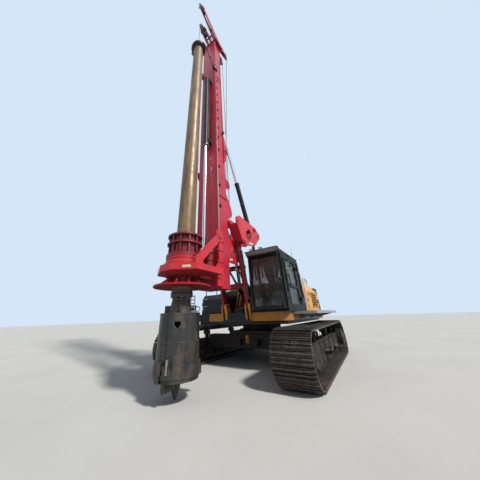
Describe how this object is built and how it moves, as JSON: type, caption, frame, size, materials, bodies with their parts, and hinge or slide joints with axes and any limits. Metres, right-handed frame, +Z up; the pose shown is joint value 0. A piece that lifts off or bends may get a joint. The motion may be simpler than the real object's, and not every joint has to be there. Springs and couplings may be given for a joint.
{
  "type": "rotary piling rig",
  "caption": "Crawler-mounted rotary drilling rig with a slewing upper, luffing linkage, tall mast, rotary drive, telescopic kelly bar and drilling bucket.",
  "frame": {"origin": "on the ground under the middle of the whole machine's box; the slewing axis is 0.425 m behind it", "axes": "+X forward towards the drilling tool, +Y to the machine's left, +Z up along the mast"},
  "size_m": [8.65, 4.6, 18.25],
  "materials": {
    "red_paint": "gloss red paint, worn",
    "yellow_paint": "semi-gloss yellow paint",
    "black_paint": "satin black paint, dusty",
    "track_steel": "worn track steel with dried soil",
    "grey_steel": "galvanised grating",
    "rod_chrome": "hard-chromed rod",
    "glass": "dark tinted glass",
    "seat": "black trim",
    "kelly_steel": "rusty brown bar steel",
    "bucket_steel": "dark worn tool steel",
    "rope_steel": "greased drum and sheave castings"
  },
  "bodies": {
    "undercarriage": {"car_body": "black_paint", "slew_ring": "black_paint", "track_frame_left": "black_paint", "track_frame_right": "black_paint", "track_left": "track_steel", "track_right": "track_steel", "track_wheels_left": "track_steel", "track_wheels_right": "track_steel"},
    "upper": {"deck": "yellow_paint", "engine_house": "yellow_paint", "engine": "black_paint", "counterweight": "black_paint", "side_tank": "black_paint", "walkway": "grey_steel", "exhaust": "black_paint", "cab_shell": "black_paint", "cab_glass": "glass", "cab_guard": "black_paint", "cab_seat": "seat"},
    "hood": {"engine_hood": "yellow_paint"},
    "door": {"cab_door": "black_paint", "door_glass": "glass"},
    "boom": {"boom": "red_paint"},
    "tie_links": {"tie_links": "red_paint"},
    "luff_barrels": {"luff_barrels": "black_paint"},
    "luff_rods": {"luff_rods": "rod_chrome"},
    "carrier": {"mast_carrier": "red_paint"},
    "mast_barrels": {"mast_barrels": "black_paint"},
    "mast_rods": {"mast_rod_left": "rod_chrome", "mast_rod_right": "rod_chrome"},
    "mast": {"mast_lower": "red_paint", "mast_middle": "red_paint", "mast_upper": "red_paint", "crowd_barrel": "black_paint", "winch_frame": "red_paint", "head_frame": "red_paint", "head_jib": "red_paint"},
    "winch_drum": {"winch_drum": "rope_steel"},
    "aux_drum": {"aux_drum": "rope_steel"},
    "head_sheave": {"head_sheave": "rope_steel"},
    "jib_sheave": {"jib_sheave": "rope_steel"},
    "tail_sheave_main": {"tail_sheave_main": "rope_steel"},
    "tail_sheave_aux": {"tail_sheave_aux": "rope_steel"},
    "carriage": {"carriage": "red_paint", "crowd_rod": "rod_chrome", "drive_housing": "red_paint", "drive_cage": "red_paint", "drive_motors": "black_paint"},
    "drive_sleeve": {"drive_sleeve": "red_paint"},
    "kelly_guide": {"kelly_guide": "red_paint"},
    "kelly_outer": {"kelly_outer": "kelly_steel"},
    "kelly_inner": {"kelly_inner": "kelly_steel", "bucket_shell": "bucket_steel"},
    "bucket_gate": {"bucket_gate": "bucket_steel"}
  },
  "joints": [
    {"name": "upper_slew", "type": "hinge", "parent": "undercarriage", "child": "upper", "pos_m": [-0.425, 0, 1.09], "axis": [0, 0, 1], "continuous": true},
    {"name": "hood_hinge", "type": "hinge", "parent": "upper", "child": "hood", "pos_m": [-3.199, 0, 2.494], "axis": [0, -1, 0], "range_deg": [0, 55]},
    {"name": "door_hinge", "type": "hinge", "parent": "upper", "child": "door", "pos_m": [-0.111, 1.684, 1.51], "axis": [0, 0, 1], "range_deg": [0, 160]},
    {"name": "boom_luff", "type": "hinge", "parent": "upper", "child": "boom", "pos_m": [1.275, 0, 1.6], "axis": [0, 1, 0], "range_deg": [-8, 15]},
    {"name": "carrier_level", "type": "hinge", "parent": "boom", "child": "carrier", "pos_m": [1.655, 0, 3.5], "axis": [0, 1, 0], "range_deg": [-15.1, 8.1]},
    {"name": "tie_swing", "type": "hinge", "parent": "upper", "child": "tie_links", "pos_m": [0.165, 0, 2.11], "axis": [0, 1, 0], "range_deg": [-8.1, 15.1]},
    {"name": "luff_swing", "type": "hinge", "parent": "upper", "child": "luff_barrels", "pos_m": [0.025, 0, 1.6], "axis": [0, 1, 0], "range_deg": [-3.8, 7.1]},
    {"name": "luff_extend", "type": "slide", "parent": "luff_barrels", "child": "luff_rods", "axis": [0.7659, 0, 0.6429], "range_m": [-0.11, 0.205]},
    {"name": "mast_tilt", "type": "hinge", "parent": "carrier", "child": "mast", "pos_m": [2.015, 0, 4.13], "axis": [0, -1, 0], "range_deg": [-5, 90]},
    {"name": "cylinder_swing", "type": "hinge", "parent": "carrier", "child": "mast_barrels", "pos_m": [0.805, 0, 4.19], "axis": [0, -1, 0], "range_deg": [-6.2, 110.7]},
    {"name": "cylinder_extend", "type": "slide", "parent": "mast_barrels", "child": "mast_rods", "axis": [0.3787, 0, 0.9255], "range_m": [-1.4115, 0.079]},
    {"name": "winch_spin", "type": "hinge", "parent": "mast", "child": "winch_drum", "pos_m": [1.805, 0, 3.18], "axis": [0, 1, 0], "continuous": true},
    {"name": "aux_winch_spin", "type": "hinge", "parent": "mast", "child": "aux_drum", "pos_m": [1.905, 0, 5.9], "axis": [0, 1, 0], "continuous": true},
    {"name": "head_sheave_spin", "type": "hinge", "parent": "mast", "child": "head_sheave", "pos_m": [3.345, 0, 17.08], "axis": [0, 1, 0], "continuous": true},
    {"name": "jib_sheave_spin", "type": "hinge", "parent": "mast", "child": "jib_sheave", "pos_m": [3.955, 0.4, 17.95], "axis": [0, 1, 0], "continuous": true},
    {"name": "tail_sheave_spin", "type": "hinge", "parent": "mast", "child": "tail_sheave_main", "pos_m": [1.655, 0, 16.8], "axis": [0, 1, 0], "continuous": true},
    {"name": "tail_aux_spin", "type": "hinge", "parent": "mast", "child": "tail_sheave_aux", "pos_m": [1.655, 0.4, 16.8], "axis": [0, 1, 0], "continuous": true},
    {"name": "crowd", "type": "slide", "parent": "mast", "child": "carriage", "axis": [0, 0, 1], "range_m": [0, 3.9]},
    {"name": "drive_spin", "type": "hinge", "parent": "carriage", "child": "drive_sleeve", "pos_m": [3.675, 0, 2.3], "axis": [0, 0, 1], "continuous": true},
    {"name": "kelly_lift", "type": "slide", "parent": "mast", "child": "kelly_guide", "axis": [0, 0, 1], "range_m": [-8.9, 0.1]},
    {"name": "kelly_spin", "type": "hinge", "parent": "kelly_guide", "child": "kelly_outer", "pos_m": [3.675, 0, 2], "axis": [0, 0, 1], "continuous": true},
    {"name": "kelly_extend", "type": "slide", "parent": "kelly_outer", "child": "kelly_inner", "axis": [0, 0, 1], "range_m": [-10.8, 0]},
    {"name": "gate_hinge", "type": "hinge", "parent": "kelly_inner", "child": "bucket_gate", "pos_m": [3.2, 0, 0.36], "axis": [0, 1, 0], "range_deg": [0, 70]}
  ],
  "couplings": [
    {"joint": "carrier_level", "follows": "boom_luff", "ratio": -1},
    {"joint": "tie_swing", "follows": "boom_luff", "ratio": 1},
    {"joint": "luff_swing", "follows": "boom_luff", "ratio": 0.467},
    {"joint": "luff_extend", "follows": "boom_luff", "m_per_rad": 0.775},
    {"joint": "cylinder_swing", "follows": "mast_tilt", "ratio": 1.2291},
    {"joint": "cylinder_extend", "follows": "mast_tilt", "m_per_rad": -0.89811},
    {"joint": "drive_spin", "follows": "kelly_spin", "ratio": 1}
  ]
}
